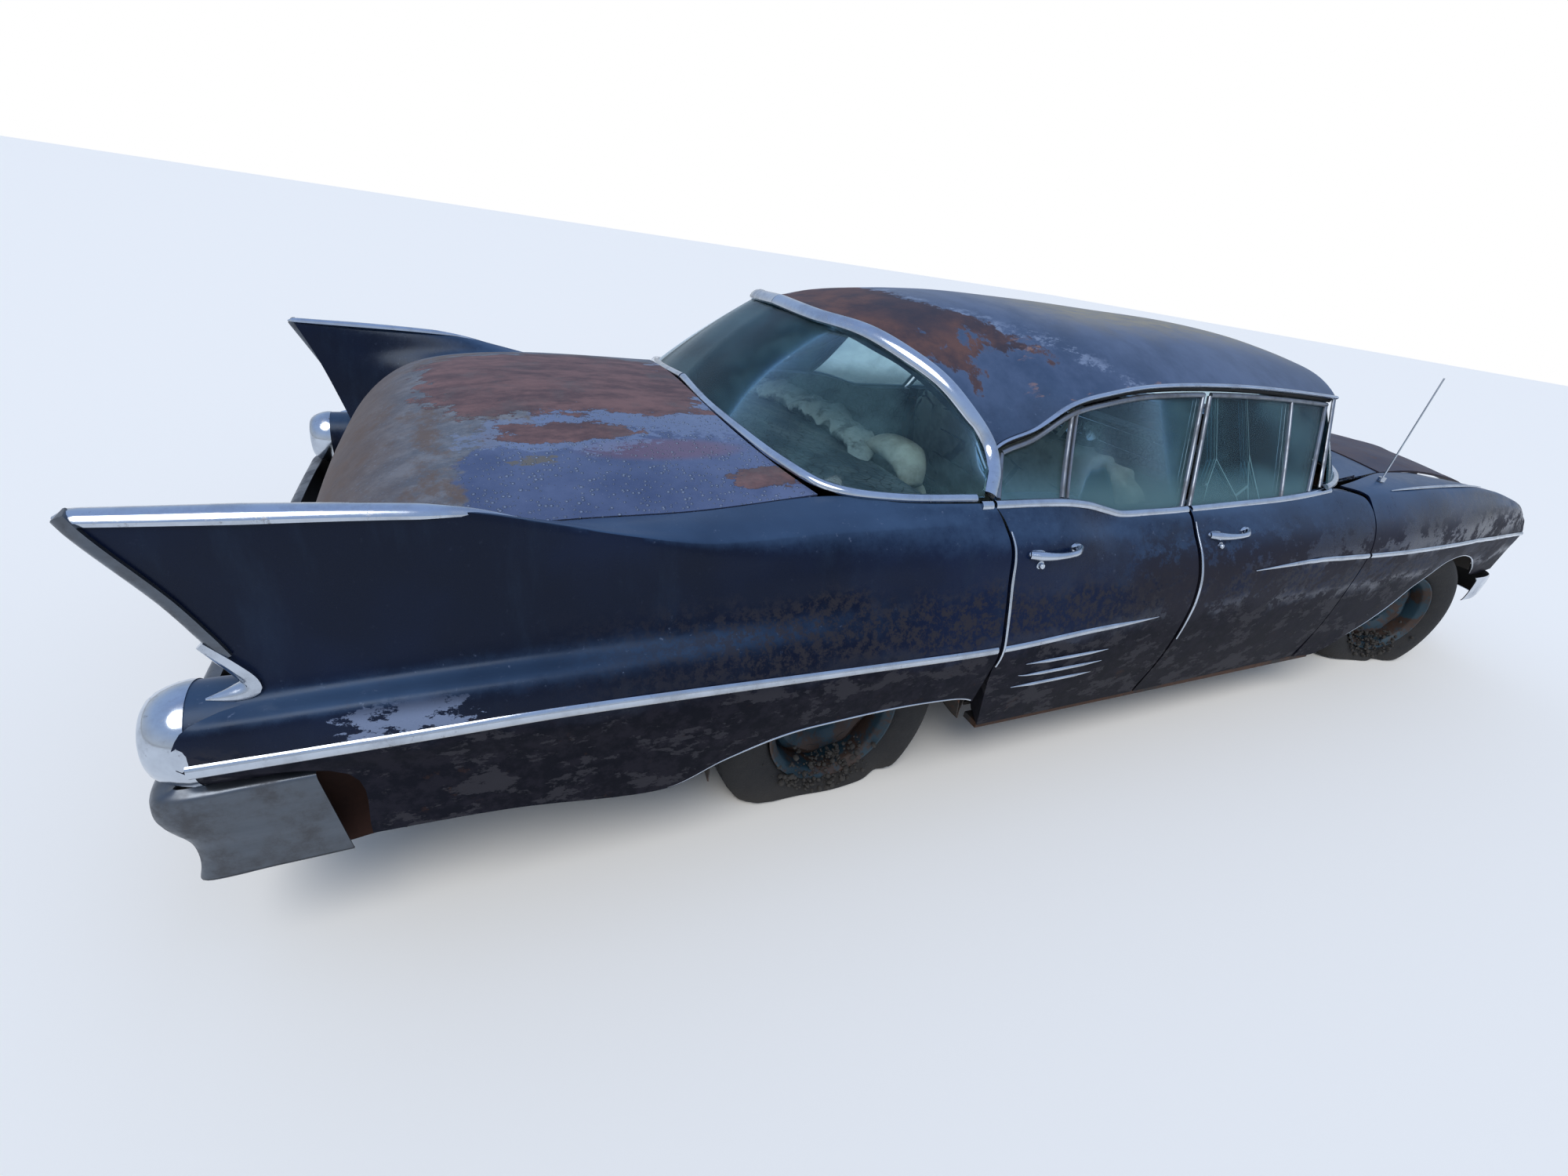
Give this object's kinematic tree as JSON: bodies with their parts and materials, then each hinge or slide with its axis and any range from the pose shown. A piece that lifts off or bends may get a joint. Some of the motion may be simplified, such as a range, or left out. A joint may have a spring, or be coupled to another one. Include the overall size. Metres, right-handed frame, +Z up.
{
  "type": "rusty saloon car wreck",
  "caption": "Abandoned four-door saloon car with tall tail fins, wraparound glass, flat tyres, hinged doors, hood and trunk lid, steered front wheels.",
  "frame": {"origin": "on the floor under the middle of the car's overall box", "axes": "+X forward, +Y to the car's left, +Z up"},
  "size_m": [5.5319, 2.0328, 1.408],
  "materials": {
    "rusty_frame": "rusted",
    "floor_metal": "rusted",
    "body_paint": "faded and oxidised",
    "window_glass": "dirty clear",
    "shelf_trim": "faded",
    "dash": "dull",
    "ivory_plastic": "cracked",
    "seat_cloth": "torn and dirty",
    "engine_iron": "oily",
    "radiator_core": "matt black",
    "bright_trim": "dull and pitted",
    "lamp_glass": "dusty",
    "red_lens": "faded red",
    "rusty_pipe": "rusted",
    "rim_paint": "rusted teal",
    "tyre_rubber": "perished"
  },
  "bodies": {
    "car_body": {"chassis_frame": "rusty_frame", "floor_pan": "floor_metal", "rocker_sills": "rusty_frame", "firewall": "floor_metal", "cowl_panel": "body_paint", "roof": "body_paint", "windscreen": "window_glass", "rear_window": "window_glass", "front_fender_right": "body_paint", "front_fender_left": "body_paint", "rear_quarter_right": "body_paint", "rear_quarter_left": "body_paint", "tail_panel": "body_paint", "parcel_shelf": "shelf_trim", "dashboard": "dash", "steering_column": "ivory_plastic", "front_seat": "seat_cloth", "rear_seat": "seat_cloth", "engine_block": "engine_iron", "radiator": "radiator_core", "grille": "bright_trim", "headlamps": "lamp_glass", "front_bumper": "bright_trim", "rear_bumper": "bright_trim", "tail_lamps": "red_lens", "fin_blades": "bright_trim", "front_suspension": "rusty_frame", "rear_axle": "rusty_frame", "exhaust": "rusty_pipe", "fuel_tank": "rusty_frame", "antenna": "bright_trim"},
    "front_door_right": {"front_door_right": "body_paint", "front_door_glass_right": "window_glass"},
    "rear_door_right": {"rear_door_right": "body_paint", "rear_door_glass_right": "window_glass"},
    "front_door_left": {"front_door_left": "body_paint", "front_door_glass_left": "window_glass"},
    "rear_door_left": {"rear_door_left": "body_paint", "rear_door_glass_left": "window_glass"},
    "hood": {"hood": "body_paint"},
    "trunk_lid": {"trunk_lid": "body_paint"},
    "knuckle_right": {"knuckle_right": "rusty_frame"},
    "front_wheel_right": {"front_rim_right": "rim_paint", "front_tyre_right": "tyre_rubber"},
    "rear_wheel_right": {"rear_rim_right": "rim_paint", "rear_tyre_right": "tyre_rubber"},
    "knuckle_left": {"knuckle_left": "rusty_frame"},
    "front_wheel_left": {"front_rim_left": "rim_paint", "front_tyre_left": "tyre_rubber"},
    "rear_wheel_left": {"rear_rim_left": "rim_paint", "rear_tyre_left": "tyre_rubber"}
  },
  "joints": [
    {"name": "front_door_right_hinge", "type": "hinge", "parent": "car_body", "child": "front_door_right", "pos_m": [0.952, -1.022, 0.6], "axis": [0, 0, 1], "range_deg": [0, 64]},
    {"name": "rear_door_right_hinge", "type": "hinge", "parent": "car_body", "child": "rear_door_right", "pos_m": [-0.072, -1.022, 0.6], "axis": [0, 0, 1], "range_deg": [0, 62]},
    {"name": "front_door_left_hinge", "type": "hinge", "parent": "car_body", "child": "front_door_left", "pos_m": [0.952, 1.022, 0.6], "axis": [0, 0, 1], "range_deg": [-64, 0]},
    {"name": "rear_door_left_hinge", "type": "hinge", "parent": "car_body", "child": "rear_door_left", "pos_m": [-0.072, 1.022, 0.6], "axis": [0, 0, 1], "range_deg": [-62, 0]},
    {"name": "hood_hinge", "type": "hinge", "parent": "car_body", "child": "hood", "pos_m": [1.368, 0, 1.016], "axis": [0, -1, 0], "range_deg": [-1.6, 48]},
    {"name": "trunk_hinge", "type": "hinge", "parent": "car_body", "child": "trunk_lid", "pos_m": [-1.406, 0, 1.056], "axis": [0, 1, 0], "range_deg": [0, 48]},
    {"name": "knuckle_right_steer", "type": "hinge", "parent": "car_body", "child": "knuckle_right", "pos_m": [1.947, -0.69, 0.276], "axis": [0, 0, 1], "range_deg": [-19, 51]},
    {"name": "front_wheel_right_spin", "type": "hinge", "parent": "knuckle_right", "child": "front_wheel_right", "pos_m": [1.92357, -0.77171, 0.276], "axis": [0.2756, 0.9613, 0], "continuous": true},
    {"name": "rear_wheel_right_spin", "type": "hinge", "parent": "car_body", "child": "rear_wheel_right", "pos_m": [-1.283, -0.775, 0.252], "axis": [0, 1, 0], "continuous": true},
    {"name": "knuckle_left_steer", "type": "hinge", "parent": "car_body", "child": "knuckle_left", "pos_m": [1.947, 0.69, 0.276], "axis": [0, 0, 1], "range_deg": [-19, 51]},
    {"name": "front_wheel_left_spin", "type": "hinge", "parent": "knuckle_left", "child": "front_wheel_left", "pos_m": [1.97043, 0.77171, 0.276], "axis": [0.2756, 0.9613, 0], "continuous": true},
    {"name": "rear_wheel_left_spin", "type": "hinge", "parent": "car_body", "child": "rear_wheel_left", "pos_m": [-1.283, 0.775, 0.252], "axis": [0, 1, 0], "continuous": true}
  ],
  "couplings": [
    {"joint": "knuckle_left_steer", "follows": "knuckle_right_steer", "ratio": 1}
  ]
}
